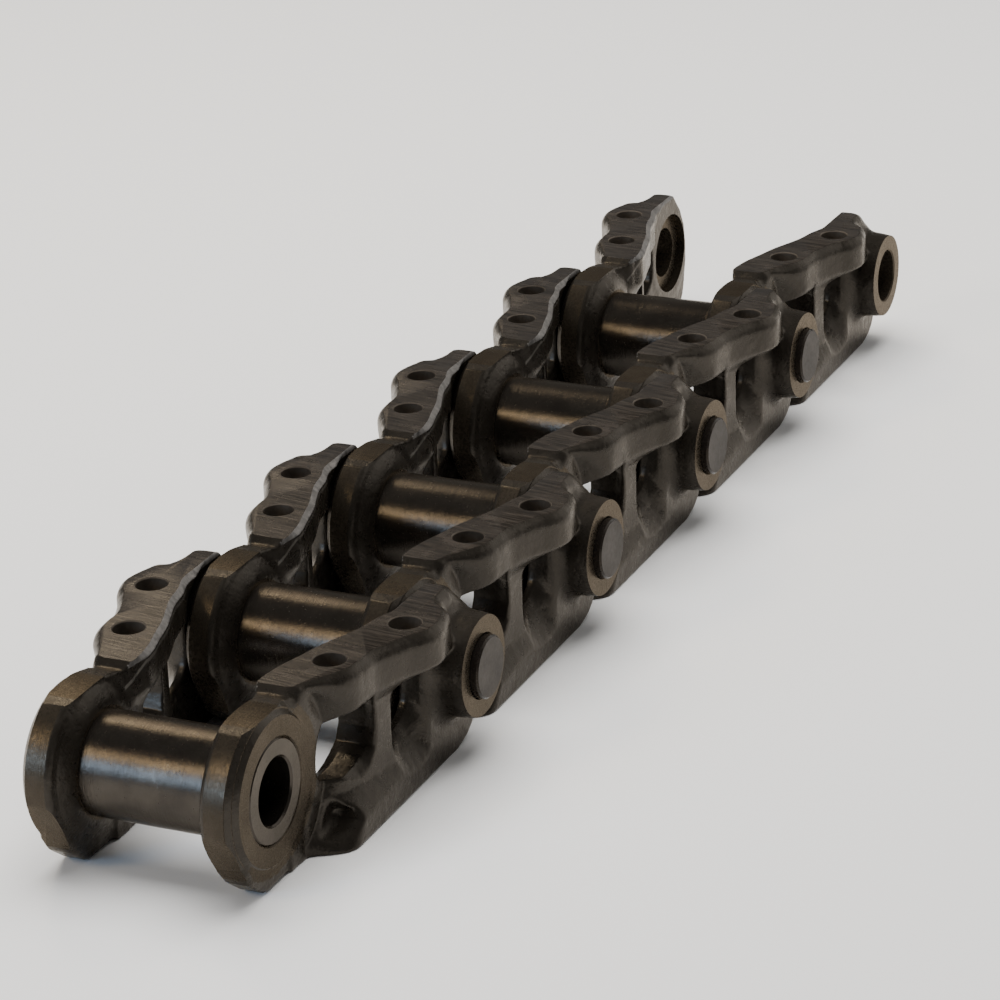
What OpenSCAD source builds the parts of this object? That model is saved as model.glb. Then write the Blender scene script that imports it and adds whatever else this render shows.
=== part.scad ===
// Track chain of an excavator: forged link pairs joined by pins that turn in bushings.
// X runs along the chain, Y across it and Z up to the faces that carry the track shoes.
// The origin is below the middle of the chain, on the level of the roller rails.

/* [Chain] */
// Distance from one joint to the next
pitch = 190; // [175:1:210]
// Number of link pairs
pair_count = 5; // [2:1:6]

/* [Link] */
// Joint axis down to the rail that the rollers run on
rail_depth = 58; // [56:0.5:64]
// Joint axis up to the face that carries the track shoe
shoe_height = 46.4; // [44:0.2:50]
// Free width between the two links at the bushing
throat_w = 80; // [76:1:84]
// Width over the outer faces of the two bushing bosses
bushing_boss_w = 136.2; // [134:0.2:137]
// Gap between a bushing boss and the pin boss beside it
side_gap = 2.3; // [2:0.1:4]
// Width over the outer faces of the two pin bosses
link_w = 217.6; // [210:0.2:224]
// Diameter of the bushing boss
bushing_boss_d = 102; // [98:1:106]
// Diameter of the flat outer face of the bushing boss
bushing_face_d = 88; // [84:1:92]
// Diameter of the pin boss at the strap
pin_boss_d = 68; // [66:1:74]
// Diameter of the flat outer face of the pin boss
pin_face_d = 60; // [56:1:62]
// Height of the rail flange
rail_h = 15; // [12:0.5:18]
// Width over the outer edges of the two rails
rail_w = 180; // [176:1:184]
// Thickness of the bar under the track shoe, down to the nut seats
seat_t = 26.4; // [24:0.2:28]

/* [Shoe bolts] */
// Diameter of the bolt holes
bolt_d = 19.5; // [17:0.5:22]
// First pair of holes, distance from the bushing axis
near_bolt_x = 78; // [76:0.5:80]
// First pair of holes, distance from hole to hole as a share of the width of the chain
near_bolt_share = 0.6; // [0.59:0.005:0.61]
// Second pair of holes, distance from the bushing axis
far_bolt_x = 138.6; // [136:0.2:141]
// Second pair of holes, distance from hole to hole as a share of the width of the chain
far_bolt_share = 0.771; // [0.76:0.001:0.78]

/* [Pin and bushing] */
// Diameter of the joint pin
pin_d = 39; // [36:0.5:40]
// How far the pin stands out of each pin boss
pin_stand = 5; // [2:0.5:6]
// Outer diameter of the bushing
bushing_d = 62; // [60:0.5:63]
// Clearance between pin and bushing, on the radius
running_gap = 0.08; // [0.02:0.01:0.1]

/* [Seal] */
// Diameter of the seal recess in the pin boss
recess_d = 62; // [60:0.5:64]
// Depth of the seal recess
recess_depth = 6; // [5:0.5:8]
// Clearance round the seal, on the radius
seal_gap = 0.3; // [0.2:0.1:0.6]

/* [Hidden] */
$fn = 96;
// Overrun of every cut
over = 1;

half_w = link_w / 2;
throat_y = throat_w / 2;
face_y = bushing_boss_w / 2;
pin_y = face_y + side_gap;
rail_y = rail_w / 2;
boss_r = bushing_boss_d / 2;
hub_r = pin_boss_d / 2;
seat_z = shoe_height - seat_t;
rail_top = rail_h - rail_depth;

// Room for the boss and the heel of the next link as it swings about the pin
swing_gap = 2;
// Radius outside which a link may reach over the pin boss of the link before it,
// and how fast it may grow with each step outward
reach_r = rail_depth + 3;
reach_share = 0.7;

near_reach = boss_r;
chain_length = near_reach + pair_count * pitch + hub_r;

// Each table below gives places as shares. The first number is a share of the pitch,
// counted from the bushing axis, and the second a share of half the width of the chain.
pad_inner_shares = [[0.05, 0.47], [0.13, 0.41], [0.2, 0.368], [0.31, 0.388], [0.4, 0.432], [0.49, 0.474],
    [0.565, 0.524], [0.64, 0.572], [0.73, 0.605], [0.8, 0.645], [0.88, 0.65], [1.2, 0.65]];
pad_outer_shares = [[0.05, 0.52], [0.13, 0.585], [0.2, 0.625], [0.285, 0.69], [0.36, 0.735], [0.44, 0.75],
    [0.495, 0.752], [0.55, 0.782], [0.625, 0.842], [0.68, 0.9], [0.735, 0.928], [0.79, 0.918],
    [0.84, 0.893], [0.875, 0.87], [0.9, 0.82], [0.93, 0.787], [0.97, 0.774], [1.2, 0.77]];
web_inner_shares = [[0.05, 0.48], [0.13, 0.43], [0.2, 0.395], [0.31, 0.42], [0.4, 0.465], [0.49, 0.51],
    [0.565, 0.555], [0.64, 0.6], [0.72, 0.65], [0.8, 0.65], [1.2, 0.65]];
web_outer_shares = [[0.05, 0.52], [0.13, 0.585], [0.21, 0.63], [0.29, 0.672], [0.36, 0.718], [0.45, 0.75],
    [0.57, 0.772], [0.66, 0.79], [0.75, 0.81], [0.84, 0.815], [1.2, 0.815]];
rail_inner_shares = [[0.05, 0.425], [0.3, 0.425], [0.53, 0.432], [0.62, 0.46], [0.69, 0.53],
    [0.745, 0.62], [0.79, 0.65], [1.2, 0.65]];
rail_outer_shares = [[0.05, 0.61], [0.16, 0.612], [0.19, 0.65], [0.24, 0.8], [0.275, 0.824],
    [0.34, 0.827], [0.6, 0.827], [1.2, 0.827]];
station_shares = [0.1, 0.17, 0.21, 0.25, 0.29, 0.35, 0.42, 0.5, 0.57, 0.63, 0.69, 0.74, 0.79,
    0.84, 0.88, 0.92, 0.97, 1.08, 1.19];

// Value of a smooth line through a table of points, at a place along it
function slope(t, i) =
    i <= 0 || i >= len(t) - 1 ? 0 : (t[i + 1][1] - t[i - 1][1]) / (t[i + 1][0] - t[i - 1][0]);
function span(t, u, i = 0) = i >= len(t) - 2 || u < t[i + 1][0] ? i : span(t, u, i + 1);
function line_at(t, u) =
    let (i = span(t, u), w = t[i + 1][0] - t[i][0], s = (u - t[i][0]) / w, r = 1 - s)
    t[i][1] * r * r * (1 + s + s) + t[i + 1][1] * s * s * (1 + r + r)
    + slope(t, i) * w * s * r * r - slope(t, i + 1) * w * s * s * r;

// Outline of the strap, seen from above: along its inner side and back along its outer side,
// each grown by a given width that dies out towards the bushing boss
grow_in_shares = [[0, 0], [0.21, 0], [0.29, 1], [1.2, 1]];
grow_out_shares = [[0, 0], [0.24, 0], [0.4, 1], [1.2, 1]];
function outline(inner, outer, grow_in = 0, grow_out = 0) = concat(
    [for (u = station_shares)
        [u * pitch, line_at(inner, u) * half_w - grow_in * line_at(grow_in_shares, u)]],
    [for (k = [len(station_shares) - 1:-1:0]) let (u = station_shares[k])
        [u * pitch, line_at(outer, u) * half_w + grow_out * line_at(grow_out_shares, u)]]);
function between(a, b, t) = [for (k = [0:len(a) - 1]) a[k] * (1 - t) + b[k] * t];

// One corner rounded off, starting a given way before it, and a closed outline with all rounded
corner_steps = 4;
function toward(a, b, d) = a + (b - a) * min(d / norm(b - a), 0.49);
function corner(before, at, after, d) = let (a = toward(at, before, d), c = toward(at, after, d))
    [for (k = [0:corner_steps]) let (t = k / corner_steps)
        a * (1 - t) * (1 - t) + at * 2 * t * (1 - t) + c * t * t];
function rounded(p, d) = [for (i = [0:len(p) - 1])
    each corner(p[(i + len(p) - 1) % len(p)], p[i], p[(i + 1) % len(p)], d)];

// Solid through a stack of outlines, each closed by strips from its inner to its outer side
function strip(k, n, start, turn) = let (a = start + k, d = start + n - 1 - k)
    turn ? [[a, d, d - 1], [a, d - 1, a + 1]] : [[a, a + 1, d - 1], [a, d - 1, d]];
module loft(levels) {
    n = len(levels[0][1]);
    last = len(levels) - 1;
    points = [for (level = levels, p = level[1]) [p[0], p[1], level[0]]];
    sides = [for (j = [0:last - 1], k = [0:n - 1]) let (m = (k + 1) % n)
        each [[j * n + k, (j + 1) * n + k, (j + 1) * n + m],
            [j * n + k, (j + 1) * n + m, j * n + m]]];
    bottom = [for (k = [0:n / 2 - 2]) each strip(k, n, 0, false)];
    top = [for (k = [0:n / 2 - 2]) each strip(k, n, last * n, true)];
    polyhedron(points, concat(bottom, top, sides));
}

// Extrusion across the chain, from one place to another, of a shape drawn from the side
module across(from, to) {
    translate([0, to, 0]) rotate([90, 0, 0]) linear_extrude(to - from) children();
}

// Round bar or bore across the chain
module round_across(r, from, to) {
    translate([0, from, 0]) rotate([-90, 0, 0]) cylinder(r = r, h = to - from);
}

// Body turned about the joint axis, from points of radius and place across the chain
module turned_across(points) {
    rotate([-90, 0, 0]) rotate_extrude() polygon(points);
}

// Forged strap from the bushing boss to the pin boss: rail flange, web and shoe bar, which
// bulges out just below its milled face
rail_edge = 2;
flank_h = 7;
rail_flank_h = 14;
bulge = 3;
outer_bulge = 4.6;
module strap() {
    face = outline(pad_inner_shares, pad_outer_shares);
    pad = outline(pad_inner_shares, pad_outer_shares, bulge, outer_bulge);
    web = outline(web_inner_shares, web_outer_shares);
    rail = outline(rail_inner_shares, rail_outer_shares);
    loft([[-rail_depth, between(rail, web, 0.15)],
        [rail_edge - rail_depth, rail],
        [rail_top, rail],
        [rail_top + rail_flank_h * 0.35, between(rail, web, 0.45)],
        [rail_top + rail_flank_h * 0.7, between(rail, web, 0.82)],
        [rail_top + rail_flank_h, web],
        [seat_z - flank_h, web],
        [seat_z - flank_h * 0.25, between(web, pad, 0.35)],
        [seat_z + flank_h * 0.5, pad],
        [shoe_height - outer_bulge, pad],
        [shoe_height - outer_bulge * 0.4, between(face, pad, 0.7)],
        [shoe_height, face]]);
}

// Side view of the whole link: crown of the boss, shoe face, far end round the pin, rail and
// the rounded toe of the rail
heel_x = 14;
heel_round = 4;
heel_edge = [-boss_r * 0.58, -rail_depth * 0.785];
heel_end = [-boss_r, -boss_r * 0.12];
function toe(reach) = concat(
    corner([pitch, -rail_depth], [-heel_x, -rail_depth], heel_edge, heel_round),
    corner([-heel_x, -rail_depth], heel_edge, heel_end, heel_round),
    [heel_edge + (heel_end - heel_edge) * reach]);
crown = 0.6;
step_drop = 3.2;
module side_view() {
    polygon(concat([
        [-boss_r, shoe_height - step_drop], [-boss_r * 0.47, shoe_height - crown * 2],
        [-boss_r * 0.2, shoe_height - crown], [boss_r * 0.12, shoe_height - crown],
        [boss_r * 0.38, shoe_height - step_drop * 0.65], [boss_r * 0.62, shoe_height - step_drop],
        [boss_r * 0.7, shoe_height],
        [pitch, shoe_height], [pitch + hub_r * 0.14, shoe_height * 0.985],
        [pitch + hub_r * 0.3, shoe_height * 0.93],
        [pitch + hub_r * 0.7, shoe_height * 0.62], [pitch + hub_r * 0.92, shoe_height * 0.32],
        [pitch + hub_r, 0], [pitch + hub_r, -rail_depth * 0.25],
        [pitch + hub_r * 0.94, -rail_depth * 0.55], [pitch + hub_r * 0.83, -rail_depth * 0.74],
        [pitch + hub_r * 0.66, -rail_depth * 0.87], [pitch + hub_r * 0.44, -rail_depth * 0.95],
        [pitch + hub_r * 0.2, -rail_depth * 0.99], [pitch, -rail_depth]],
        toe(1)));
}

// Disc that holds the bushing, with turned steps on its rim and the heel of the rail below.
// Inside, a flat ring lies round the bushing and two slopes lead out to the rim.
rim_step = 0.8;
ring_w = 2;
shallow_slope = [4.5, 1.2];
steep_slope = [7, 4.1];
cone_w = 8.6;
shoulder_w = 5.8;
heel_inner_share = 0.455;
heel_outer_share = 0.607;
module bushing_boss() {
    face_r = bushing_face_d / 2;
    step_r = (boss_r - rim_step - face_r) / 2;
    rim_y = face_y - shoulder_w;
    ring = [bushing_d / 2 + ring_w, throat_y];
    turned_across([[0, throat_y], ring, ring + shallow_slope, ring + shallow_slope + steep_slope,
        [boss_r - rim_step, throat_y + cone_w], [boss_r, throat_y + cone_w + rim_step],
        [boss_r, rim_y], [boss_r - rim_step, rim_y],
        [face_r + step_r, rim_y + shoulder_w / 2],
        [face_r + step_r - rim_step, rim_y + shoulder_w / 2],
        [face_r, face_y - rim_step], [face_r - rim_step, face_y], [0, face_y]]);
    across(half_w * heel_inner_share, half_w * heel_outer_share)
        polygon(concat(toe(0.25),
            [[-boss_r * 0.5, 0], [boss_r * 0.6, 0], [boss_r * 0.6, -rail_depth]]));
}

// Space that the boss and the heel of the next link sweep beside the pin boss
module swing_space() {
    heel_r = norm([heel_x, rail_depth]) + swing_gap;
    turned_across([[0, -over], [boss_r + swing_gap, -over],
        [boss_r + swing_gap, face_y - shoulder_w + swing_gap],
        [bushing_face_d / 2 + swing_gap, pin_y], [0, pin_y]]);
    across(-over, pin_y) intersection() {
        circle(heel_r);
        translate([-heel_r, -heel_r]) square([heel_r * 2, heel_r * 0.6]);
    }
}

// Space that the pin boss and the rail end of the link before sweep beside the bushing boss
module reach_space() {
    out_y = half_w + over;
    turned_across([[0, face_y], [reach_r, face_y],
        [reach_r + (out_y - face_y) * reach_share, out_y], [0, out_y]]);
}

// Round boss that holds the pin, flared where it grows out of the strap
boss_round = 3;
module pin_boss() {
    translate([pitch, 0, 0]) turned_across([[0, pin_y], [hub_r, pin_y],
        [hub_r + boss_round, pin_y + boss_round], [hub_r + boss_round, rail_y - boss_round * 2],
        [hub_r, rail_y], [hub_r - boss_round * 0.5, rail_y + boss_round * 2],
        [pin_face_d / 2 + boss_round * 0.6, half_w - boss_round],
        [pin_face_d / 2 + boss_round * 0.25, half_w - boss_round * 0.4],
        [pin_face_d / 2, half_w], [0, half_w]]);
}

// Windows through the strap, which give room for the shoe nuts, as shares of the pitch
// and of the height from the nut seat down to the top of the rail. Each opens wider to the
// outer side of the link.
near_window_shares = [[0.515, 0], [0.42, 0], [0.35, 0.03], [0.3, 0.12], [0.27, 0.26],
    [0.258, 0.45], [0.268, 0.58], [0.31, 0.655], [0.45, 0.63], [0.515, 0.5]];
near_mouth_shares = [[0.505, 0], [0.42, 0], [0.345, 0.025], [0.295, 0.12], [0.264, 0.26],
    [0.252, 0.45], [0.265, 0.66], [0.32, 0.86], [0.43, 1], [0.5, 0.9]];
far_window_shares = [[0.612, 0], [0.612, 0.63], [0.64, 0.66], [0.71, 0.645], [0.765, 0.58],
    [0.8, 0.46], [0.81, 0.33], [0.795, 0]];
far_mouth_shares = [[0.605, 0], [0.585, 0.72], [0.605, 0.98], [0.68, 1.05], [0.78, 1.03],
    [0.825, 0.88], [0.828, 0.55], [0.81, 0]];
corner_pocket_shares = [[0.19, 0.72], [0.17, 1.1], [0.27, 1.12], [0.345, 0.98], [0.3, 0.82],
    [0.24, 0.7]];
window_h = seat_z - rail_top;
window_round = 5;
function window(shares) = rounded([for (s = shares) [s[0] * pitch, seat_z - s[1] * window_h]],
    window_round);

// Opening that widens from one outline to another, from one place across to the next
module flared(inner, outer, from, to) {
    n = len(inner);
    points = concat([for (p = inner) [p[0], from, p[1]]], [for (p = outer) [p[0], to, p[1]]]);
    sides = [for (k = [0:n - 1]) let (m = (k + 1) % n) each [[k, m, n + m], [k, n + m, n + k]]];
    polyhedron(points, concat([[for (k = [n - 1:-1:0]) k]], [[for (k = [0:n - 1]) n + k]], sides));
}

// Depth of the mouths and of the blind pocket behind the heel, from the edge of the rail
mouth_depth = 14;
corner_depth = 20;
module windows() {
    mouth_y = rail_y - mouth_depth;
    across(-over, half_w + over) polygon(window(near_window_shares));
    across(-over, half_w + over) polygon(window(far_window_shares));
    flared(window(near_window_shares), window(near_mouth_shares), mouth_y, rail_y);
    flared(window(far_window_shares), window(far_mouth_shares), mouth_y, rail_y);
    across(rail_y - corner_depth, half_w + over) polygon(window(corner_pocket_shares));
}

module bolt_hole(x, w) {
    translate([x, w / 2, seat_z - window_h / 2])
        cylinder(d = bolt_d, h = shoe_height - seat_z + window_h / 2 + over);
}

module link() {
    difference() {
        union() {
            difference() {
                union() {
                    intersection() {
                        strap();
                        across(0, half_w) side_view();
                    }
                    intersection() {
                        bushing_boss();
                        across(0, half_w) side_view();
                    }
                }
                reach_space();
                windows();
            }
            intersection() {
                pin_boss();
                across(0, half_w) side_view();
            }
        }
        translate([pitch, 0, 0]) {
            swing_space();
            round_across(recess_d / 2, 0, pin_y + recess_depth);
            round_across(pin_d / 2, 0, half_w + over);
        }
        round_across(bushing_d / 2, 0, half_w);
        bolt_hole(near_bolt_x, near_bolt_share * link_w);
        bolt_hole(far_bolt_x, far_bolt_share * link_w);
    }
}

module left_link() {
    color("#2b2725") link();
}

module right_link() {
    color("#2b2725") mirror([0, 1, 0]) link();
}

// Bushing: a ground tube, flush with the bosses, with eased edges
edge = 1.2;
module bushing() {
    bore_r = pin_d / 2 + running_gap;
    color("#4a4038") turned_across([
        [bore_r + edge, -face_y], [bushing_d / 2 - edge, -face_y],
        [bushing_d / 2, edge - face_y], [bushing_d / 2, face_y - edge],
        [bushing_d / 2 - edge, face_y], [bore_r + edge, face_y],
        [bore_r, face_y - edge], [bore_r, edge - face_y]]);
}

// Joint pin, pressed into the pin bosses of its own link pair
module pin() {
    end_y = half_w + pin_stand;
    color("#57504a") turned_across([[0, -end_y], [pin_d / 2 - edge, -end_y],
        [pin_d / 2, edge - end_y], [pin_d / 2, end_y - edge],
        [pin_d / 2 - edge, end_y], [0, end_y]]);
}

// Seal between the end of the bushing and the bottom of the recess in the pin boss:
// a lip ring that runs on the bushing and a soft ring that presses on it
module seal() {
    back_y = pin_y + recess_depth;
    outer_r = recess_d / 2 - seal_gap;
    inner_r = pin_d / 2 + seal_gap * 4;
    wall = (outer_r - inner_r) / 2;
    split_y = (face_y + back_y) / 2;
    color("#2a2d33") turned_across([[inner_r, split_y], [inner_r + wall, face_y],
        [outer_r - wall / 2, face_y], [outer_r, pin_y], [outer_r, split_y]]);
    color("#1c1c1c") turned_across([[inner_r, split_y], [outer_r, split_y],
        [outer_r, back_y - edge], [outer_r - edge, back_y], [inner_r + edge, back_y],
        [inner_r, back_y - edge]]);
}

module left_seal() {
    seal();
}

module right_seal() {
    mirror([0, 1, 0]) seal();
}

// Places of the joints along the chain, counted from the open bushing
module at_joint(i) {
    translate([near_reach + i * pitch - chain_length / 2, 0, rail_depth]) children();
}

for (i = [1:pair_count]) {
    at_joint(i - 1) left_link();
    at_joint(i - 1) right_link();
    at_joint(i - 1) bushing();
}
for (i = [1:pair_count - 1]) {
    at_joint(i) pin();
    at_joint(i) left_seal();
    at_joint(i) right_seal();
}
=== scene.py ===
import math

import bmesh
import bpy
import numpy as np
from mathutils import Matrix, Vector


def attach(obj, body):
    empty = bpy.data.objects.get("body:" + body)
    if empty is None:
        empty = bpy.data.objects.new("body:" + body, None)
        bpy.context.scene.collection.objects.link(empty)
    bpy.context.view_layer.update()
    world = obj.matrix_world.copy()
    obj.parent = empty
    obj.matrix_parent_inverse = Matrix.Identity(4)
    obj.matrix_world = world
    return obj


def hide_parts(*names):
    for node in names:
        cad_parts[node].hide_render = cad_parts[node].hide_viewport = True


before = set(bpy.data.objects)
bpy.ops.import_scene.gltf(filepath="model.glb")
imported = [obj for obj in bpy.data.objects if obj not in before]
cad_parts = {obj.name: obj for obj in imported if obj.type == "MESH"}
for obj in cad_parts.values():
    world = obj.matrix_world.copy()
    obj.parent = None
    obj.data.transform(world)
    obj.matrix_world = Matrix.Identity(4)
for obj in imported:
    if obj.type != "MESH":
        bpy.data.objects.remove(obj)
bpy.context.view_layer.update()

# Axis of the first bushing in the frame, in metres
MM = 0.001
FIRST_X = -0.4665
AXIS_Z = 0.058

# Sizes of one link, in millimetres from the axis of its bushing: x along the chain,
# y out from the middle of the chain and z up to the track shoe
PITCH = 190.0
PAIRS = 5
HALF_W = 108.8
RAIL_DEPTH = 58.0
SHOE_H = 46.4
SEAT_Z = 20.0
RAIL_TOP = -43.0
THROAT_Y = 40.0
FACE_Y = 68.1
PIN_Y = 70.4
RAIL_Y = 90.0
BOSS_R = 51.0
FACE_R = 44.0
REACH_R = 61.0
REACH_RUN = 30.0
REACH_SHARE = 0.7
REACH_END_Y = 111.0
BUSHING_R = 31.0
PIN_R = 19.5
RECESS_R = 31.0
RECESS_Y = 76.4
BOLT_R = 9.75
BOLTS = ((78.0, 65.3), (138.6, 83.9))
BOLT_DEPTH = 12.0
BORE_CHAMFER = 0.8
EYE_CHAMFER = 1.0
BOLT_CHAMFER = 0.7
OVERRUN = 4.0
BOLT_OVERRUN = 2.0
FAR = 300.0
SEGMENTS = 128
BOLT_SEGMENTS = 64

# Outlines of the strap seen from above, as shares of the pitch and of the half width
PAD_INNER = [(0.05, 0.47), (0.13, 0.41), (0.2, 0.368), (0.31, 0.388), (0.4, 0.432), (0.49, 0.474),
             (0.565, 0.524), (0.64, 0.572), (0.73, 0.605), (0.8, 0.645), (0.88, 0.65), (1.2, 0.65)]
PAD_OUTER = [(0.05, 0.52), (0.13, 0.585), (0.2, 0.625), (0.285, 0.69), (0.36, 0.735), (0.44, 0.75),
             (0.495, 0.752), (0.55, 0.782), (0.625, 0.842), (0.68, 0.9), (0.735, 0.928), (0.79, 0.918),
             (0.84, 0.893), (0.875, 0.87), (0.9, 0.82), (0.93, 0.787), (0.97, 0.774), (1.2, 0.77)]
WEB_INNER = [(0.05, 0.48), (0.13, 0.43), (0.2, 0.395), (0.31, 0.42), (0.4, 0.465), (0.49, 0.51),
             (0.565, 0.555), (0.64, 0.6), (0.72, 0.65), (0.8, 0.65), (1.2, 0.65)]
WEB_OUTER = [(0.05, 0.52), (0.13, 0.585), (0.21, 0.63), (0.29, 0.672), (0.36, 0.718), (0.45, 0.75),
             (0.57, 0.772), (0.66, 0.79), (0.75, 0.81), (0.84, 0.815), (1.2, 0.815)]
RAIL_INNER = [(0.05, 0.425), (0.3, 0.425), (0.53, 0.432), (0.62, 0.46), (0.69, 0.53),
              (0.745, 0.62), (0.79, 0.65), (1.2, 0.65)]
RAIL_OUTER = [(0.05, 0.61), (0.16, 0.612), (0.19, 0.65), (0.24, 0.8), (0.275, 0.824),
              (0.34, 0.827), (0.6, 0.827), (1.2, 0.827)]
GROW_IN = [(0.0, 0.0), (0.21, 0.0), (0.29, 1.0), (1.2, 1.0)]
GROW_OUT = [(0.0, 0.0), (0.24, 0.0), (0.4, 1.0), (1.2, 1.0)]
BULGE = 3.0
OUTER_BULGE = 4.6
RAIL_BLEND_IN = (RAIL_TOP - 1.5, RAIL_TOP + 9.0)
RAIL_BLEND_OUT = (RAIL_TOP - 2.5, RAIL_TOP + 14.5)
PAD_BLEND = (SEAT_Z - 9.0, SEAT_Z + 5.0)

# Outlines of the nut windows in the side view: shares of the pitch, and of the height from the
# bar under the shoe down to the rail
NEAR_WINDOW = [(0.515, 0), (0.42, 0), (0.35, 0.03), (0.3, 0.12), (0.27, 0.26), (0.258, 0.45),
               (0.268, 0.58), (0.31, 0.655), (0.45, 0.63), (0.515, 0.5)]
NEAR_MOUTH = [(0.505, 0), (0.42, 0), (0.345, 0.025), (0.295, 0.12), (0.264, 0.26), (0.252, 0.45),
              (0.265, 0.66), (0.32, 0.86), (0.43, 1.0), (0.5, 0.9)]
NEAR_INNER = [(0.515, 0), (0.42, 0), (0.35, 0.03), (0.295, 0.12), (0.262, 0.26), (0.248, 0.45),
              (0.252, 0.66), (0.31, 0.86), (0.45, 0.84), (0.515, 0.5)]
FAR_WINDOW = [(0.612, 0), (0.612, 0.63), (0.64, 0.66), (0.71, 0.645), (0.765, 0.58), (0.8, 0.46),
              (0.81, 0.33), (0.795, 0)]
FAR_MOUTH = [(0.605, 0), (0.585, 0.72), (0.605, 0.98), (0.68, 1.05), (0.78, 1.03), (0.825, 0.88),
             (0.828, 0.55), (0.81, 0)]
POCKET = [(0.19, 0.72), (0.17, 1.1), (0.27, 1.12), (0.345, 0.98), (0.3, 0.82), (0.24, 0.7)]
MOUTH_DEPTH = 14.0
INNER_EDGE_Y = 62.0
INNER_EDGE_W = 16.0
POCKET_DEPTH = 20.0
STOCK = 1.5
STRAP_X = 16.0
STEP_X = 34.0

# Radii of the forging's edges and corners
INNER_EDGE_R = 1.2
OUTER_EDGE_R = 2.5
OUTER_EDGE_GROWTH = 7.5
OUTER_EDGE_BLEND = (-30.0, 10.0)
BOSS_STOCK = 0.5
HEEL_R = 1.8
HEEL_Y = 56.8
HEEL_HALF_W = 7.4
CORNER_R = 5.0
REACH_CORNER_R = 3.0
WINDOW_R = 1.8
POCKET_FLOOR_R = 6.0
POCKET_R = 3.0
HUB_EDGE_R = 2.0
HUB_CORNER_R = 6.0
SWING_R = 61.2
SWING_LEVEL = -12.2
SWING_EDGE_R = 1.5

# Box of the field that the forging is meshed in, and the size of its cells
FIELD_LOW = (-54.0, 38.0, -62.0)
FIELD_HIGH = (228.0, 113.0, 51.0)
FIELD_STEP = 1.1
DRAW_PASSES = 3
PROBE = 0.3
FLATTEST_SLOPE = 0.25
LONGEST_MOVE_SHARE = 0.5


# Arithmetic of soft forms: distances that are negative inside
def line_at(table, u):
    """Smooth curve through the points of a table, read at u."""
    px = np.array([p[0] for p in table])
    py = np.array([p[1] for p in table])
    slopes = np.zeros(len(table))
    slopes[1:-1] = (py[2:] - py[:-2]) / (px[2:] - px[:-2])
    k = np.clip(np.searchsorted(px, u, side="right") - 1, 0, len(table) - 2)
    w = px[k + 1] - px[k]
    s = np.clip((u - px[k]) / w, 0.0, 1.0)
    r = 1.0 - s
    return (py[k] * r * r * (1 + 2 * s) + py[k + 1] * s * s * (1 + 2 * r)
            + slopes[k] * w * s * r * r - slopes[k + 1] * w * s * s * r)


def ease(v, a, b):
    """Smooth step from 0 at a to 1 at b."""
    t = np.clip((v - a) / (b - a), 0.0, 1.0)
    return t * t * (3 - 2 * t)


def meet(a, b, r):
    """What is inside both, with its edge rounded to the radius r."""
    return np.minimum(np.maximum(a, b), -r) + np.hypot(np.maximum(a + r, 0), np.maximum(b + r, 0))


def join(a, b, r):
    """What is inside either, with its corner filled to the radius r."""
    return np.maximum(np.minimum(a, b), r) - np.hypot(np.maximum(r - a, 0), np.maximum(r - b, 0))


def polygon_distance(points, x, z):
    """Distance to a closed outline, negative inside it."""
    best = np.full(np.broadcast_shapes(np.shape(x), np.shape(z)), 1e9)
    inside = np.zeros(best.shape, bool)
    for k, (ax, az) in enumerate(points):
        bx, bz = points[(k + 1) % len(points)]
        ex = bx - ax
        ez = bz - az
        t = np.clip(((x - ax) * ex + (z - az) * ez) / (ex * ex + ez * ez), 0, 1)
        best = np.minimum(best, np.hypot(x - ax - ex * t, z - az - ez * t))
        if ez:
            inside ^= ((az > z) != (bz > z)) & (x < ax + (z - az) * ex / ez)
    return np.where(inside, -best, best)


def window_outline(shares):
    """Outline of a window in millimetres, with its corners cut softer."""
    points = np.array([(a * PITCH, SEAT_Z - b * (SEAT_Z - RAIL_TOP)) for a, b in shares])
    after = np.roll(points, -1, axis=0)
    return np.stack([points * 0.75 + after * 0.25, points * 0.25 + after * 0.75], axis=1).reshape(-1, 2)


# Boss that holds the bushing: half section as radius and y
BOSS_SECTION = [(0, THROAT_Y), (33.0, THROAT_Y), (37.5, 41.2), (44.3, 45.15), (45.0, 45.6), (47.8, 46.3),
                (49.7, 47.3), (50.7, 48.5), (51.0, 49.9), (51.0, 62.3), (50.2, 62.3), (47.1, 65.2),
                (46.3, 65.2), (44.0, 67.3), (43.2, FACE_Y), (0, FACE_Y)]
TOE = [(-51.3, -5.9), (-31.7, -41.9), (-30.2, -44.8), (-26.7, -48.1), (-17.3, -55.6), (-14.3, -57.5),
       (-10, -58.2)]
HEEL = [(-34.9, -35.7), (-31.5, -42), (-30, -44.8), (-26.5, -48), (-17.1, -55.5), (-14.1, -57.3),
        (-10, -RAIL_DEPTH), (30.6, -RAIL_DEPTH), (30.6, 0), (-25.5, 0)]
HUB_SECTION = [(0, PIN_Y), (34, PIN_Y), (37, 73.4), (37, 84), (34, 90), (32.5, 96), (31.8, 104),
               (30.9, HALF_W + STOCK), (0, HALF_W + STOCK)]
SWING_SECTION = [(0, 0), (53, 0), (53, 64.3), (46, PIN_Y), (0, PIN_Y)]
REACH_SECTION = [(0, FACE_Y), (REACH_R, FACE_Y),
                 (REACH_R + REACH_RUN, FACE_Y + REACH_RUN / REACH_SHARE), (0, REACH_END_Y)]
CROWN = ([(x, 45.9 - 0.0026 * x * x) for x in range(-36, 29, 4)]
         + [(29.6, 43.35), (31.0, 43.3), (32.2, 43.8), (35.8, SHOE_H), (37.9, SHOE_H + STOCK)])
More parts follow.
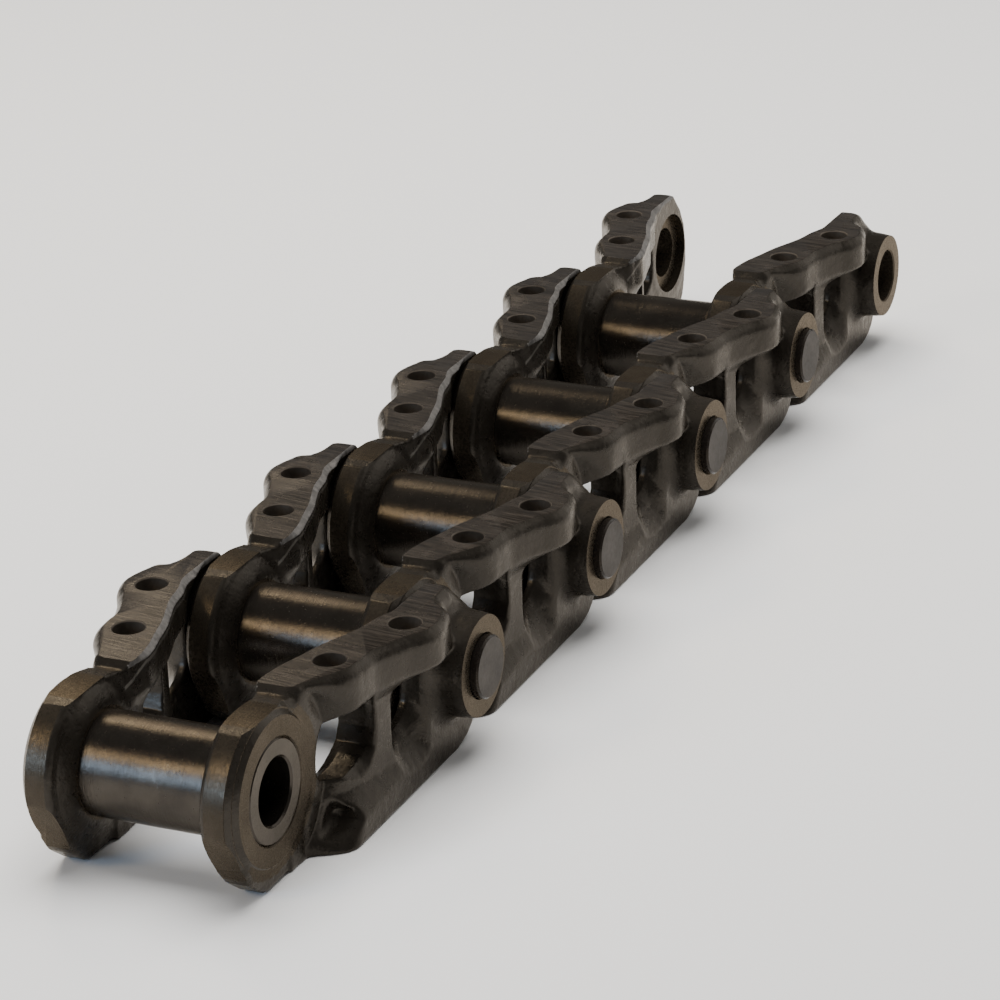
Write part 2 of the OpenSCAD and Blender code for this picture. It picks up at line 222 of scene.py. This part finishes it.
SIDE_VIEW = [(-BOSS_R - 1, 41.0)] + CROWN + [
             (PITCH + 2, SHOE_H + STOCK), (200, 44.5), (213.8, 28.8), (221.3, 14.8),
             (224, 0), (224, -14.5), (222, -31.9), (218.2, -42.9), (212.4, -50.5), (205, -55.1),
             (196.8, -57.4), (190, -RAIL_DEPTH - 1), (-14, -RAIL_DEPTH - 1), (-31, -46), (-BOSS_R - 1, -6.5)]


def sides_at(x, z):
    """Places of the inner and the outer side of the strap."""
    u = x / PITCH
    rail_in = 1.0 - ease(z, *RAIL_BLEND_IN)
    rail_out = 1.0 - ease(z, *RAIL_BLEND_OUT)
    pad = ease(z, *PAD_BLEND)
    grow_in = BULGE * line_at(GROW_IN, u)
    grow_out = OUTER_BULGE * line_at(GROW_OUT, u)
    lip = np.clip((z - SHOE_H + BULGE) / BULGE, 0.0, 2.0)
    inner = [line_at(t, u) * HALF_W for t in (WEB_INNER, RAIL_INNER, PAD_INNER)]
    outer = [line_at(t, u) * HALF_W for t in (WEB_OUTER, RAIL_OUTER, PAD_OUTER)]
    y_in = inner[0] + (inner[1] - inner[0]) * rail_in + (inner[2] - grow_in * (1 - lip) - inner[0]) * pad
    y_out = outer[0] + (outer[1] - outer[0]) * rail_out + (outer[2] + grow_out - outer[0]) * pad
    return y_in, y_out


def steepness(x, z, k):
    """How much longer the side k of the strap is than its run along the chain."""
    return np.sqrt(1 + ((sides_at(x + 0.5, z)[k] - sides_at(x - 0.5, z)[k])) ** 2)


def forging(x, y, z):
    """Distance to the rough forging of a link, before it is machined."""
    r = np.hypot(x, z)
    r_far = np.hypot(x - PITCH, z)
    side = polygon_distance(SIDE_VIEW, x, z)
    y_in, y_out = sides_at(x, z)
    outer_round = OUTER_EDGE_R + OUTER_EDGE_GROWTH * ease(z, *OUTER_EDGE_BLEND)
    strap = np.maximum(meet((y - y_out) / steepness(x, z, 1), side, outer_round),
                       meet((y_in - y) / steepness(x, z, 0), side, INNER_EDGE_R))
    strap = np.maximum(strap, STRAP_X - x)
    boss = polygon_distance(BOSS_SECTION, r, y) + BOSS_STOCK
    heel = meet(polygon_distance(HEEL, x, z) + HEEL_R, np.abs(y - HEEL_Y) - HEEL_HALF_W, HEEL_R) - HEEL_R
    body = join(join(boss, heel, CORNER_R), strap, CORNER_R)
    body = meet(body, -polygon_distance(REACH_SECTION, r, y), REACH_CORNER_R)
    flare = np.clip((y - RAIL_Y + MOUTH_DEPTH) / MOUTH_DEPTH, 0.0, 1.2)
    slope = np.clip((INNER_EDGE_Y - y) / INNER_EDGE_W, 0.0, 1.0)
    windows = ((NEAR_WINDOW, NEAR_MOUTH, NEAR_INNER), (FAR_WINDOW, FAR_MOUTH, FAR_WINDOW))
    for throat, mouth, inside in windows:
        a = polygon_distance(window_outline(throat), x, z)
        b = polygon_distance(window_outline(mouth), x, z)
        c = polygon_distance(window_outline(inside), x, z)
        body = meet(body, -(a * (1 - flare - slope) + b * flare + c * slope), WINDOW_R)
    pocket_floor = RAIL_Y - POCKET_DEPTH - y
    pocket = meet(polygon_distance(window_outline(POCKET), x, z), pocket_floor, POCKET_FLOOR_R)
    body = meet(body, -pocket, POCKET_R)
    hub = meet(polygon_distance(HUB_SECTION, r_far, y), side, HUB_EDGE_R)
    body = join(body, hub, HUB_CORNER_R)
    swing = np.minimum(polygon_distance(SWING_SECTION, r_far, y),
                       np.maximum(np.maximum(r_far - SWING_R, z - SWING_LEVEL), y - PIN_Y))
    return meet(meet(body, -swing, SWING_EDGE_R), side, SWING_EDGE_R)


def surface_net(field, lo, hi, step):
    """Closed quad mesh of a field's zero surface, drawn onto that surface."""
    axes = [np.arange(lo[k], hi[k] + step, step) for k in range(3)]
    f = field(*np.meshgrid(*axes, indexing="ij", sparse=True))
    cells = tuple(n - 1 for n in f.shape)
    total = np.zeros(cells + (3,))
    count = np.zeros(cells)
    rings = []
    for axis in range(3):
        o1 = (axis + 1) % 3
        o2 = (axis + 2) % 3
        first = [slice(None)] * 3
        second = [slice(None)] * 3
        first[axis] = slice(0, -1)
        second[axis] = slice(1, None)
        fa = f[tuple(first)]
        fb = f[tuple(second)]
        cross = (fa < 0) != (fb < 0)
        index = np.argwhere(cross)
        place = index.astype(float)
        place[:, axis] += fa[cross] / (fa[cross] - fb[cross])
        corners = []
        for d1, d2 in ((-1, -1), (0, -1), (0, 0), (-1, 0)):
            cell = index.copy()
            cell[:, o1] += d1
            cell[:, o2] += d2
            key = tuple(cell.T)
            np.add.at(total, key, place)
            np.add.at(count, key, 1)
            corners.append(cell)
        turned = fa[cross] >= 0
        rings.append((corners, turned))
    used = count > 0
    number = -np.ones(cells, int)
    number[used] = np.arange(used.sum())
    points = total[used] / count[used][:, None] * step + np.array(lo)
    faces = []
    for corners, turned in rings:
        quad = np.stack([number[tuple(c.T)] for c in corners], axis=1)
        quad[turned] = quad[turned][:, ::-1]
        faces.append(quad)
    for _ in range(DRAW_PASSES):
        here = field(*points.T)
        slope = np.stack([(field(*(points + PROBE * e).T) - field(*(points - PROBE * e).T)) / (2 * PROBE)
                          for e in np.eye(3)], axis=1)
        size = np.maximum((slope ** 2).sum(1), FLATTEST_SLOPE)
        move = slope * (here / size)[:, None]
        length = np.maximum(np.linalg.norm(move, axis=1), 1e-9)
        points = points - move * np.minimum(1.0, step * LONGEST_MOVE_SHARE / length)[:, None]
    return points, np.concatenate(faces)


# Meshes
def mesh_object(name, points, faces, scale=MM):
    mesh = bpy.data.meshes.new(name)
    mesh.from_pydata((np.asarray(points) * scale).tolist(), [], [list(map(int, f)) for f in faces])
    mesh.update()
    piece = bpy.data.objects.new(name, mesh)
    bpy.context.scene.collection.objects.link(piece)
    return piece


def turned(name, section, centre=(0.0, 0.0), axis="Y", segments=SEGMENTS):
    """Closed body turned about a line across the chain (or up, for axis Z)."""
    points = []
    faces = []
    ring = [[] for _ in section]
    for i, (r, y) in enumerate(section):
        if r == 0:
            ring[i] = [len(points)] * segments
            points.append((0, 0, y))
            continue
        for k in range(segments):
            a = 2 * math.pi * k / segments
            ring[i].append(len(points))
            points.append((r * math.cos(a), r * math.sin(a), y))
    for i in range(len(section)):
        j = (i + 1) % len(section)
        if section[i][0] == 0 and section[j][0] == 0:
            continue
        for k in range(segments):
            m = (k + 1) % segments
            face = [ring[i][k], ring[i][m], ring[j][m], ring[j][k]]
            clean = []
            for v in face:
                if v not in clean:
                    clean.append(v)
            faces.append(clean)
    out = []
    for px, py, pz in points:
        if axis == "Y":
            out.append((px + centre[0], pz, -py + centre[1]))
        else:
            out.append((px + centre[0], py + centre[1], pz))
    piece = mesh_object(name, out, faces)
    outward(piece)
    return piece


def outward(piece):
    work = bmesh.new()
    work.from_mesh(piece.data)
    bmesh.ops.recalc_face_normals(work, faces=work.faces)
    work.to_mesh(piece.data)
    work.free()


def block(name, lo, hi):
    points = [(x, y, z) for x in (lo[0], hi[0]) for y in (lo[1], hi[1]) for z in (lo[2], hi[2])]
    faces = [(0, 1, 3, 2), (4, 6, 7, 5), (0, 4, 5, 1), (2, 3, 7, 6), (0, 2, 6, 4), (1, 5, 7, 3)]
    piece = mesh_object(name, points, faces)
    outward(piece)
    return piece


def bar_across(name, profile, y0, y1):
    """Bar across the chain with a given side view."""
    n = len(profile)
    points = [(x, y, z) for y in (y0, y1) for x, z in profile]
    faces = [[k, (k + 1) % n, n + (k + 1) % n, n + k] for k in range(n)]
    piece = mesh_object(name, points, faces + [list(range(n)), list(range(2 * n - 1, n - 1, -1))])
    outward(piece)
    return piece


def applied(piece):
    """Makes the piece's modifiers part of its mesh."""
    graph = bpy.context.evaluated_depsgraph_get()
    mesh = bpy.data.meshes.new_from_object(piece.evaluated_get(graph))
    piece.modifiers.clear()
    old = piece.data
    piece.data = mesh
    bpy.data.meshes.remove(old)


def carve(piece, tool, operation="DIFFERENCE"):
    cut = piece.modifiers.new("cut", "BOOLEAN")
    cut.operation = operation
    cut.solver = "MANIFOLD"
    cut.object = tool
    applied(piece)
    bpy.data.objects.remove(tool)


def make_link(name):
    """Rough forging of a left link with its machined faces and holes cut."""
    step = FIELD_STEP
    points, faces = surface_net(forging, FIELD_LOW, FIELD_HIGH, step)
    link = mesh_object(name, points, faces)
    carve(link, turned("boss", BOSS_SECTION), "UNION")
    carve(link, bar_across("crown", CROWN + [(CROWN[-1][0], FAR), (CROWN[0][0], FAR)], 0, FAR))
    carve(link, bar_across("toe", TOE + [(TOE[-1][0], -FAR), (-FAR, -FAR), (-FAR, TOE[0][1])], 0, FAR))
    carve(link, block("above", (-FAR, 0, SHOE_H), (FAR, FAR, FAR)))
    carve(link, block("below", (-FAR, 0, -FAR), (FAR, FAR, -RAIL_DEPTH)))
    carve(link, block("beyond", (-FAR, HALF_W, -FAR), (FAR, FAR, FAR)))
    past = FACE_Y + OVERRUN
    bore = [(0, 0), (BUSHING_R, 0), (BUSHING_R, FACE_Y - BORE_CHAMFER), (BUSHING_R + BORE_CHAMFER, FACE_Y),
            (BUSHING_R + OVERRUN, past), (0, past)]
    carve(link, turned("bore", bore))
    past = HALF_W + OVERRUN
    eye = [(0, 0), (RECESS_R, 0), (RECESS_R, RECESS_Y), (PIN_R, RECESS_Y), (PIN_R, HALF_W - EYE_CHAMFER),
           (PIN_R + EYE_CHAMFER, HALF_W), (PIN_R + EYE_CHAMFER + OVERRUN, past), (0, past)]
    carve(link, turned("eye", eye, (PITCH, 0)))
    past = SHOE_H + BOLT_OVERRUN
    hole = [(0, -BOLT_DEPTH), (BOLT_R, -BOLT_DEPTH), (BOLT_R, SHOE_H - BOLT_CHAMFER),
            (BOLT_R + BOLT_CHAMFER, SHOE_H), (BOLT_R + BOLT_CHAMFER + BOLT_OVERRUN, past), (0, past)]
    for place in BOLTS:
        carve(link, turned("bolt", hole, place, "Z", BOLT_SEGMENTS))
    return link


# Materials
def tree(name):
    material = bpy.data.materials.new(name)
    material.use_nodes = True
    nodes = material.node_tree.nodes
    nodes.clear()
    out = nodes.new("ShaderNodeOutputMaterial")
    shader = nodes.new("ShaderNodeBsdfPrincipled")
    material.node_tree.links.new(shader.outputs[0], out.inputs[0])
    return material, shader


def node(material, kind, settings=None, **values):
    made = material.node_tree.nodes.new("ShaderNode" + kind)
    for key, value in (settings or {}).items():
        setattr(made, key, value)
    for key, value in values.items():
        feed(material, made.inputs[key.replace("_", " ")], value)
    return made


def feed(material, socket, value):
    if isinstance(value, bpy.types.NodeSocket):
        material.node_tree.links.new(value, socket)
    else:
        socket.default_value = value


def maths(material, operation, a, b=0.0, c=0.0):
    made = node(material, "Math", {"operation": operation})
    for socket, value in zip(made.inputs, (a, b, c)):
        feed(material, socket, value)
    return made.outputs[0]


def ramp(material, value, low_in, high_in, low_out=0.0, high_out=1.0):
    made = node(material, "MapRange", {"clamp": True}, Value=value)
    for key, number in (("From Min", low_in), ("From Max", high_in), ("To Min", low_out),
                        ("To Max", high_out)):
        made.inputs[key].default_value = number
    return made.outputs[0]


def blend_colour(material, factor, a, b):
    made = node(material, "Mix", {"data_type": "RGBA"})
    feed(material, made.inputs[0], factor)
    feed(material, made.inputs[6], a)
    feed(material, made.inputs[7], b)
    return made.outputs[2]


def noise(material, place, scale, detail=4.0, rough=0.55):
    made = node(material, "TexNoise", Vector=place, Scale=scale, Detail=detail, Roughness=rough)
    return made.outputs[0]


def own_place(material, stretch=(1.0, 1.0, 1.0)):
    """The piece's own coordinates, moved by a different amount on every piece."""
    at = node(material, "TexCoord").outputs["Object"]
    chance = node(material, "ObjectInfo").outputs["Random"]
    moved = node(material, "VectorMath", {"operation": "ADD"})
    far = node(material, "VectorMath", {"operation": "SCALE"})
    far.inputs[0].default_value = (3.1, 1.7, 2.3)
    feed(material, far.inputs["Scale"], chance)
    feed(material, moved.inputs[0], at)
    feed(material, moved.inputs[1], far.outputs[0])
    scaled = node(material, "VectorMath", {"operation": "MULTIPLY"})
    feed(material, scaled.inputs[0], moved.outputs[0])
    scaled.inputs[1].default_value = stretch
    return scaled.outputs[0]


def bump(material, height, strength, distance, under=None):
    made = node(material, "Bump", Height=height, Strength=strength, Distance=distance)
    if under is not None:
        feed(material, made.inputs["Normal"], under)
    return made.outputs[0]


def colour(r, g, b):
    return (r, g, b, 1.0)


# Tints of the lacquer's gloss, warmed as a painted reflection of a brownish floor that the pale floor
# doesn't give
WARM_REFLECTION_TINT = colour(0.66, 0.56, 0.44)
PALE_REFLECTION_TINT = colour(1.0, 0.93, 0.84)

# Light line where the flash was trimmed off, partly a painted highlight of the rounded edge, in metres in
# the link's own place
LINE_START = 0.030
LINE_FULL = 0.031
LINE_FADE = 0.140
LINE_END = 0.150
LINE_RISE_END = 0.050
LINE_LOW_Z = 0.0312
LINE_HIGH_Z = 0.0408
LINE_WANDER = 0.0024
LINE_CORE = 0.0009
LINE_EDGE = 0.0013


def flash_line_and_highlight(material, waver):
    """Mask of the light line along the inner side of the strap, where the flash was trimmed off; partly a
    painted highlight of the rounded edge.
    """
    at = node(material, "SeparateXYZ", Vector=node(material, "TexCoord").outputs["Object"])
    face = node(material, "SeparateXYZ", Vector=node(material, "NewGeometry").outputs["Normal"])
    x, y, z = at.outputs
    level = ramp(material, x, LINE_START, LINE_RISE_END, LINE_LOW_Z, LINE_HIGH_Z)
    wander = maths(material, "MULTIPLY_ADD", waver, LINE_WANDER, -LINE_WANDER / 2)
    off = maths(material, "ABSOLUTE", maths(material, "ADD", maths(material, "SUBTRACT", z, level), wander))
    line = ramp(material, off, LINE_CORE, LINE_EDGE, 1.0, 0.0)
    inward = maths(material, "MULTIPLY", face.outputs[1], maths(material, "SIGN", y))
    inner = ramp(material, inward, -0.3, -0.15, 1.0, 0.0)
    begun = ramp(material, x, LINE_START, LINE_FULL)
    reach = maths(material, "MULTIPLY", begun, ramp(material, x, LINE_FADE, LINE_END, 1.0, 0.0))
    return maths(material, "MULTIPLY", maths(material, "MULTIPLY", line, inner), reach)


def lacquered_forging():
    material, shader = tree("lacquered_forging")
    at = own_place(material)
    patches = noise(material, at, 14.0, 5.0, 0.6)
    scale = noise(material, at, 150.0, 5.0, 0.65)
    grain = noise(material, at, 700.0, 3.0, 0.6)
    base = blend_colour(material, ramp(material, patches, 0.35, 0.7), colour(0.025, 0.0212, 0.0168),
                        colour(0.043, 0.037, 0.03))
    dust = ramp(material, scale, 0.55, 0.8, 0.0, 0.5)
    dusty = blend_colour(material, dust, base, colour(0.06, 0.052, 0.043))
    # The lighter tone on the trimmed line is partly a painted highlight of the rounded inner edge
    flash_and_highlight_tone = blend_colour(material, scale, colour(0.09, 0.083, 0.074), colour(0.21, 0.195, 0.175))
    line = flash_line_and_highlight(material, patches)
    feed(material, shader.inputs["Base Color"], blend_colour(material, line, dusty, flash_and_highlight_tone))
    feed(material, shader.inputs["Roughness"], ramp(material, scale, 0.3, 0.75, 0.22, 0.42))
    shader.inputs["Metallic"].default_value = 0.6
    shader.inputs["Specular Tint"].default_value = PALE_REFLECTION_TINT
    shader.inputs["Specular IOR Level"].default_value = 0.35
    coarse = bump(material, noise(material, at, 38.0, 4.0, 0.55), 0.35, 0.004)
    medium = bump(material, scale, 0.35, 0.0012, coarse)
    feed(material, shader.inputs["Normal"], bump(material, grain, 0.25, 0.0004, medium))
    return material


def milled_face():
    material, shader = tree("milled_face")
    at = own_place(material)
    turn = node(material, "VectorRotate", {"rotation_type": "Z_AXIS"}, Vector=at)
    turn.inputs["Angle"].default_value = 0.12
    stretched = node(material, "VectorMath", {"operation": "MULTIPLY"})
    feed(material, stretched.inputs[0], turn.outputs[0])
    stretched.inputs[1].default_value = (1.0, 0.06, 1.0)
    lines = noise(material, stretched.outputs[0], 620.0, 4.0, 0.7)
    broad = noise(material, stretched.outputs[0], 150.0, 3.0, 0.6)
    spots = noise(material, at, 60.0, 5.0, 0.65)
    base = blend_colour(material, ramp(material, lines, 0.4, 0.68), colour(0.01, 0.008, 0.0062),
                        colour(0.042, 0.034, 0.027))
    wear = ramp(material, spots, 0.55, 0.75, 0.0, 0.5)
    worn = blend_colour(material, wear, base, colour(0.06, 0.05, 0.042))
    feed(material, shader.inputs["Base Color"], worn)
    feed(material, shader.inputs["Roughness"], ramp(material, spots, 0.3, 0.7, 0.17, 0.32))
    shader.inputs["Specular Tint"].default_value = WARM_REFLECTION_TINT
    wide = bump(material, broad, 0.35, 0.0008)
    feed(material, shader.inputs["Normal"], bump(material, lines, 0.5, 0.0005, wide))
    return material


def turned_steel(name, dark, light, rough_low, rough_high, metal, tint):
    """Steel with fine rings left by turning, across the chain."""
    material, shader = tree(name)
    rings_at = own_place(material, (0.05, 1.0, 0.05))
    at = own_place(material)
    rings = noise(material, rings_at, 900.0, 4.0, 0.7)
    film = noise(material, at, 45.0, 5.0, 0.6)
    specks = noise(material, at, 420.0, 3.0, 0.6)
    base = blend_colour(material, ramp(material, film, 0.35, 0.7), dark, light)
    feed(material, shader.inputs["Base Color"], base)
    feed(material, shader.inputs["Roughness"], ramp(material, specks, 0.35, 0.7, rough_low, rough_high))
    shader.inputs["Metallic"].default_value = metal
    shader.inputs["Specular Tint"].default_value = tint
    shader.inputs["Specular IOR Level"].default_value = 0.35
    wide = bump(material, rings, 0.35, 0.0004)
    feed(material, shader.inputs["Normal"], bump(material, specks, 0.3, 0.0003, wide))
    return material


def pressed_pin():
    """Pin with a smooth side painted near black as painted shade, and a dull end."""
    material, shader = tree("pin_steel")
    at = own_place(material)
    film = noise(material, at, 60.0, 5.0, 0.6)
    specks = noise(material, at, 420.0, 3.0, 0.6)
    face = node(material, "SeparateXYZ", Vector=node(material, "NewGeometry").outputs["Normal"])
    end = ramp(material, maths(material, "ABSOLUTE", face.outputs[1]), 0.9, 0.95)
    # The pin's side is painted near black: painted shade of the crescent beside the end
    shaded_side_tint = blend_colour(material, film, colour(0.009, 0.0075, 0.0065), colour(0.017, 0.014, 0.012))
    end_tint = blend_colour(material, ramp(material, film, 0.35, 0.65), colour(0.035, 0.03, 0.026),
                            colour(0.06, 0.052, 0.045))
    feed(material, shader.inputs["Base Color"], blend_colour(material, end, shaded_side_tint, end_tint))
    smooth = ramp(material, specks, 0.35, 0.7, 0.2, 0.32)
    feed(material, shader.inputs["Roughness"], maths(material, "MULTIPLY_ADD", end, 0.35, smooth))
    shader.inputs["Specular Tint"].default_value = WARM_REFLECTION_TINT
    shader.inputs["Specular IOR Level"].default_value = 0.3
    feed(material, shader.inputs["Normal"], bump(material, specks, 0.3, 0.0003))
    return material


def soft_rubber():
    material, shader = tree("seal_rubber")
    at = own_place(material)
    film = noise(material, at, 120.0, 4.0, 0.6)
    feed(material, shader.inputs["Base Color"],
         blend_colour(material, film, colour(0.006, 0.006, 0.007), colour(0.02, 0.018, 0.017)))
    feed(material, shader.inputs["Roughness"], ramp(material, film, 0.3, 0.7, 0.45, 0.7))
    feed(material, shader.inputs["Normal"], bump(material, film, 0.2, 0.0003))
    return material


# Light strip of trimmed flash, partly a painted highlight of the rounded inner edge
def flash_and_edge_highlight():
    material, shader = tree("flash_and_edge_highlight")
    at = own_place(material, (1.0, 1.0, 0.2))
    torn = noise(material, at, 260.0, 5.0, 0.7)
    feed(material, shader.inputs["Base Color"],
         blend_colour(material, ramp(material, torn, 0.35, 0.65), colour(0.05, 0.046, 0.042),
                      colour(0.16, 0.15, 0.14)))
    feed(material, shader.inputs["Roughness"], ramp(material, torn, 0.3, 0.7, 0.4, 0.65))
    feed(material, shader.inputs["Normal"], bump(material, torn, 0.5, 0.0008))
    return material


FORGED = lacquered_forging()
MILLED = milled_face()
TURNED = turned_steel("turned_boss", colour(0.036, 0.029, 0.021), colour(0.056, 0.046, 0.034),
                      0.22, 0.38, 0.6, WARM_REFLECTION_TINT)
GROUND = turned_steel("ground_bushing", colour(0.04, 0.0345, 0.029), colour(0.064, 0.055, 0.045),
                      0.17, 0.28, 0.85, PALE_REFLECTION_TINT)
DRILLED = turned_steel("drilled_hole", colour(0.05, 0.042, 0.034), colour(0.1, 0.084, 0.068),
                       0.35, 0.5, 0.3, WARM_REFLECTION_TINT)
PRESSED = pressed_pin()
RUBBER = soft_rubber()
FLASH_AND_HIGHLIGHT = flash_and_edge_highlight()
LINK_FINISHES = (FORGED, MILLED, TURNED, FLASH_AND_HIGHLIGHT, DRILLED)

# How near to a cut surface a face of a link lies to be part of it, in millimetres
HAIR = 0.05
NEARBY = 0.1
STRIP_BAND = 0.2
FACE_BAND = 0.3
EDGE_BAND = 0.5
HOLE_BAND = 0.8
CHAMFER_BAND = 1.2
STRIP_DEPTH = 3.0
RIM_R = 43.0
RIM_Y = 49.5

# How squarely a face looks along a direction to count as facing it
SIDEWAYS = 0.95
RADIAL = 0.97
LEVEL = 0.99
DRILLED_WALL = 0.9
INWARD = 0.3
LINK_CREASE = math.radians(32)
CAD_CREASE = math.radians(30)


def paint_link(link):
    """Gives every face of a link its finish, by how that place of the real one is made."""
    mesh = link.data
    mesh.materials.clear()
    for material in LINK_FINISHES:
        mesh.materials.append(material)
    count = len(mesh.polygons)
    centre = np.zeros(count * 3)
    normal = np.zeros(count * 3)
    mesh.polygons.foreach_get("center", centre)
    mesh.polygons.foreach_get("normal", normal)
    x, y, z = centre.reshape(-1, 3).T / MM
    nx, ny, nz = normal.reshape(-1, 3).T
    y = np.abs(y)
    inward = -ny * np.sign(centre.reshape(-1, 3)[:, 1])
    r = np.hypot(x, z)
    r_far = np.hypot(x - PITCH, z)
    finish = np.full(count, LINK_FINISHES.index(FORGED))
    radial = np.abs((nx * x + nz * z) / np.maximum(r, 1)) > RADIAL
    sideways = inward < -SIDEWAYS
    facing = (np.abs(y - FACE_Y) < FACE_BAND) & sideways & (r < FACE_R + EDGE_BAND)
    rim = (r > RIM_R) & (r < BOSS_R + NEARBY) & (y > RIM_Y) & (y < FACE_Y + NEARBY) & (radial | sideways)
    bore = (r < BUSHING_R + CHAMFER_BAND) | (r_far < RECESS_R + NEARBY)
    tread = z < -RAIL_DEPTH + HAIR
    finish[facing | rim | bore | tread] = LINK_FINISHES.index(TURNED)
    y_in, _ = sides_at(x, z)
    under_pad = (z > SHOE_H - BULGE - STRIP_BAND) & (z < SHOE_H - HAIR)
    # The strip under the pads' inner edge is painted light: trimmed flash, and partly a painted highlight of
    # the rounded edge
    strip = (x > STEP_X) & under_pad & (inward > INWARD) & (y < y_in + STRIP_DEPTH)
    finish[strip] = LINK_FINISHES.index(FLASH_AND_HIGHLIGHT)
    for bolt_x, bolt_y in BOLTS:
        beside = np.hypot(x - bolt_x, y - bolt_y) < BOLT_R + HOLE_BAND
        finish[beside & (z > 0) & (np.abs(nz) < DRILLED_WALL)] = LINK_FINISHES.index(DRILLED)
    finish[(z > SHOE_H - HAIR) & (nz > LEVEL)] = LINK_FINISHES.index(MILLED)
    mesh.polygons.foreach_set("material_index", finish)
    mesh.polygons.foreach_set("use_smooth", np.ones(count, bool))
    mesh.set_sharp_from_angle(angle=LINK_CREASE)
    mesh.update()


def mirrored(piece, name):
    """Mirror image of a piece on the other side of the chain."""
    twin = bpy.data.objects.new(name, piece.data.copy())
    bpy.context.scene.collection.objects.link(twin)
    twin.data.transform(Matrix.Scale(-1, 4, (0, 1, 0)))
    twin.data.flip_normals()
    return twin


def copies(piece, side):
    """Puts one link of a side on every link pair, in place of the CAD solid."""
    for i in range(PAIRS):
        twin = piece if i == 0 else bpy.data.objects.new("x", piece.data)
        twin.name = side + "_forging_" + str(i + 1)
        if i:
            bpy.context.scene.collection.objects.link(twin)
        twin.location = (FIRST_X + i * PITCH * MM, 0, AXIS_Z)
        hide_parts(side + "_link_" + str(i + 1))
        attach(twin, "link_pair_" + str(i + 1))


# The part
left = make_link("left_forging")
right = mirrored(left, "right_forging")
paint_link(left)
paint_link(right)
copies(left, "left")
copies(right, "right")

for name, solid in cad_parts.items():
    kind = name.rsplit("_", 1)[0]
    finish = {"bushing": GROUND, "pin": PRESSED, "left_seal": RUBBER, "right_seal": RUBBER}.get(kind)
    if finish:
        solid.data.materials.clear()
        solid.data.materials.append(finish)
        solid.data.polygons.foreach_set("use_smooth", np.ones(len(solid.data.polygons), bool))
        solid.data.set_sharp_from_angle(angle=CAD_CREASE)

# Camera, as solved from the photograph
CAMERA_AT = (-2.0204, -0.9285, 0.9479)
CAMERA_AHEAD = Vector((0.841, 0.3881, -0.3769))
CAMERA_UP = Vector((0.3579, 0.1235, 0.9256))
CAMERA_LENS = 128.54
SENSOR_WIDTH = 36.0
CLIP_NEAR = 0.05
CLIP_FAR = 100.0
lens = bpy.data.cameras.new("camera")
lens.sensor_width = SENSOR_WIDTH
lens.lens = CAMERA_LENS
lens.clip_start = CLIP_NEAR
lens.clip_end = CLIP_FAR
camera = bpy.data.objects.new("camera", lens)
bpy.context.scene.collection.objects.link(camera)
ahead = CAMERA_AHEAD.normalized()
across = ahead.cross(CAMERA_UP).normalized()
upward = across.cross(ahead)
camera.matrix_world = Matrix((
    (across.x, upward.x, -ahead.x, CAMERA_AT[0]),
    (across.y, upward.y, -ahead.y, CAMERA_AT[1]),
    (across.z, upward.z, -ahead.z, CAMERA_AT[2]),
    (0, 0, 0, 1)))
bpy.context.scene.camera = camera

# Floor and studio light, in metres and watts
FLOOR_HALF = 20.0
FLOOR_DROP = 0.0005
FLOOR_GREY = 0.95
FLOOR_ROUGHNESS = 0.8
WORLD_STRENGTH = 0.14
corners = [(-FLOOR_HALF, -FLOOR_HALF, 0), (FLOOR_HALF, -FLOOR_HALF, 0), (FLOOR_HALF, FLOOR_HALF, 0),
           (-FLOOR_HALF, FLOOR_HALF, 0)]
floor = mesh_object("floor", corners, [(0, 1, 2, 3)], 1.0)
floor.location = (0, 0, -FLOOR_DROP)
pale, pale_shader = tree("pale_floor")
pale_shader.inputs["Base Color"].default_value = colour(FLOOR_GREY, FLOOR_GREY, FLOOR_GREY)
pale_shader.inputs["Roughness"].default_value = FLOOR_ROUGHNESS
floor.data.materials.append(pale)

world = bpy.data.worlds.new("studio")
world.use_nodes = True
world.node_tree.nodes["Background"].inputs[0].default_value = colour(1.0, 1.0, 1.0)
world.node_tree.nodes["Background"].inputs[1].default_value = WORLD_STRENGTH
bpy.context.scene.world = world


def lamp(name, place, target, size, power, tint):
    light = bpy.data.lights.new(name, "AREA")
    light.shape = "RECTANGLE"
    light.size = size[0]
    light.size_y = size[1]
    light.energy = power
    light.color = tint
    thing = bpy.data.objects.new(name, light)
    bpy.context.scene.collection.objects.link(thing)
    thing.location = place
    thing.rotation_mode = "QUATERNION"
    thing.rotation_quaternion = (Vector(target) - Vector(place)).to_track_quat("-Z", "Y")
    return thing


# The wide lamp overhead lights the floor and shows in no gloss, as behind a screen
wash = lamp("floor_wash", (0.4, 0.3, 3.4), (0.4, 0.3, 0), (3.4, 3.4), 215.0, (1.0, 0.98, 0.95))
wash.visible_glossy = False
lamp("sun_window", (-2.45, 1.38, 1.85), (-0.2, 0, 0.058), (0.7, 0.75), 20.0, (1.0, 0.8, 0.52))
lamp("sky_window", (-2.96, 1.38, 0.95), (-0.2, 0, 0.058), (0.8, 1.0), 34.0, (0.5, 0.7, 1.0))
lamp("wall_glow", (1.46, 1.54, 1.69), (-0.3, 0.1, 0.058), (0.7, 1.2), 6.0, (1.0, 0.84, 0.62))
lamp("high_window", (0.96, 1.35, 1.84), (-0.48, 0.055, 0.1), (0.34, 0.34), 5.0, (1.0, 0.85, 0.6))
lamp("hall_wall", (3.0, -2.6, 1.9), (-0.1, -0.05, 0.058), (4.5, 3.4), 48.0, (1.0, 0.98, 0.95))
